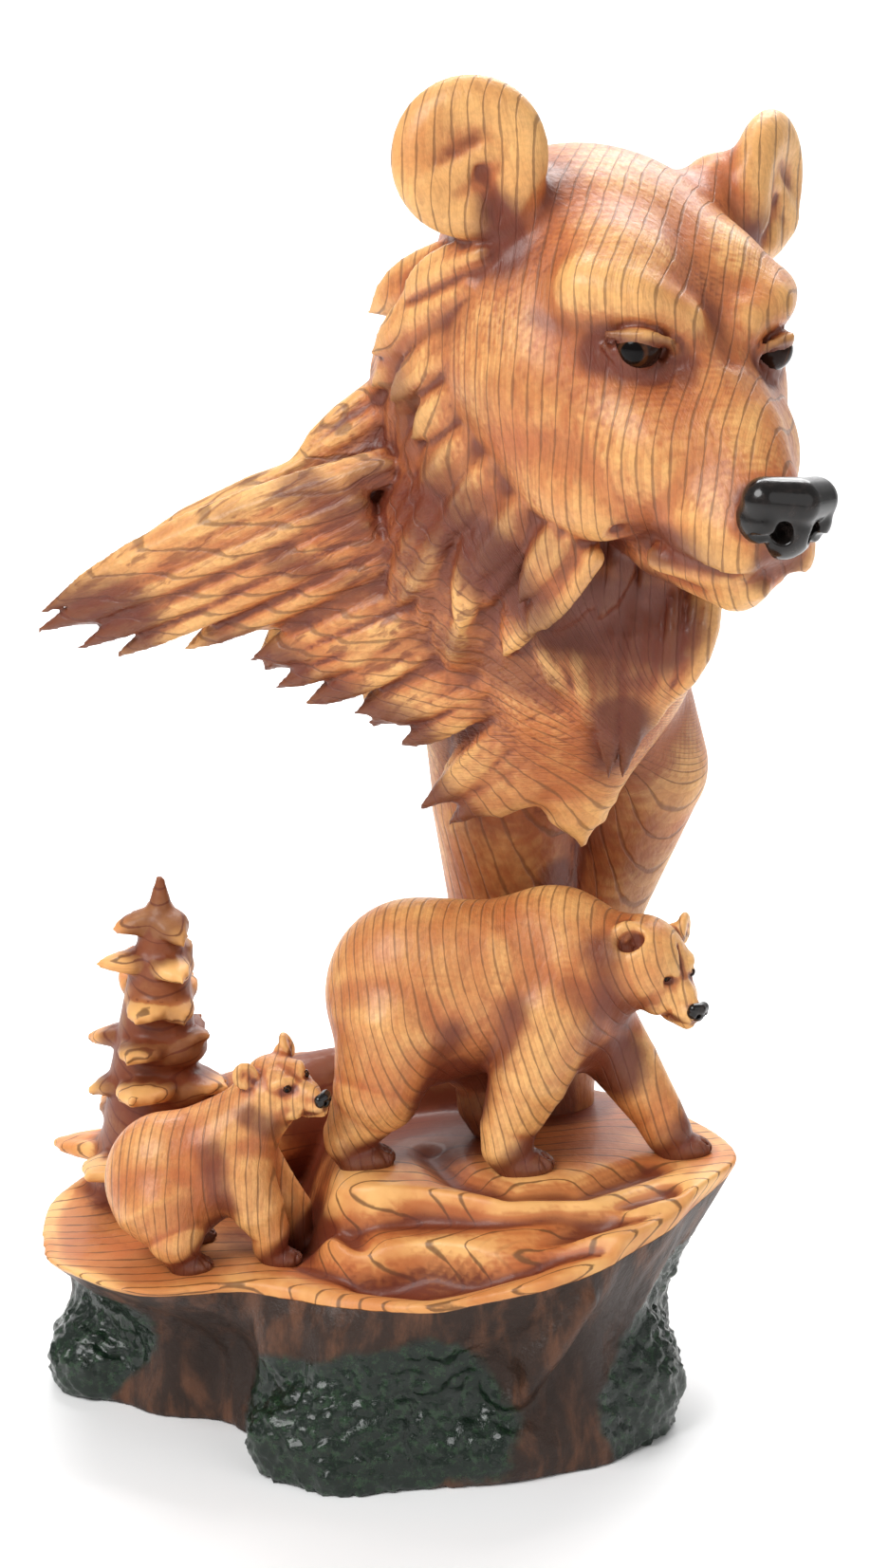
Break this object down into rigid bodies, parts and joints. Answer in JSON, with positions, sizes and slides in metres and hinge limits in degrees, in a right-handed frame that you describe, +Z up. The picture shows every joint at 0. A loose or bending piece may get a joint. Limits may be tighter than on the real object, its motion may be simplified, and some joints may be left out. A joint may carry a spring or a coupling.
{
  "type": "bear family figurine",
  "caption": "Carved-wood-look figurine: a large bear's head and mane on a twisted trunk above a mother bear and cub walking past a pine on a stump.",
  "frame": {"origin": "the middle of the stump's flat underside", "axes": "+Z up; +X to the viewer's right, where the mother bear walks; -Y toward the viewer"},
  "size_m": [0.1878, 0.1337, 0.3295],
  "materials": {
    "stump": "satin lacquer over painted cast resin: pale ringed wood on top, dark bark and green moss on the side",
    "bust": "satin lacquer over cast resin painted as ringed cedar, with a glossy black nose and eyes",
    "mother": "satin lacquer over cast resin painted as ringed cedar",
    "cub": "satin lacquer over cast resin painted as ringed cedar"
  },
  "bodies": {
    "root": {"stump_base": "stump", "bear_bust": "bust", "mother_bear": "mother", "bear_cub": "cub"}
  },
  "joints": []
}
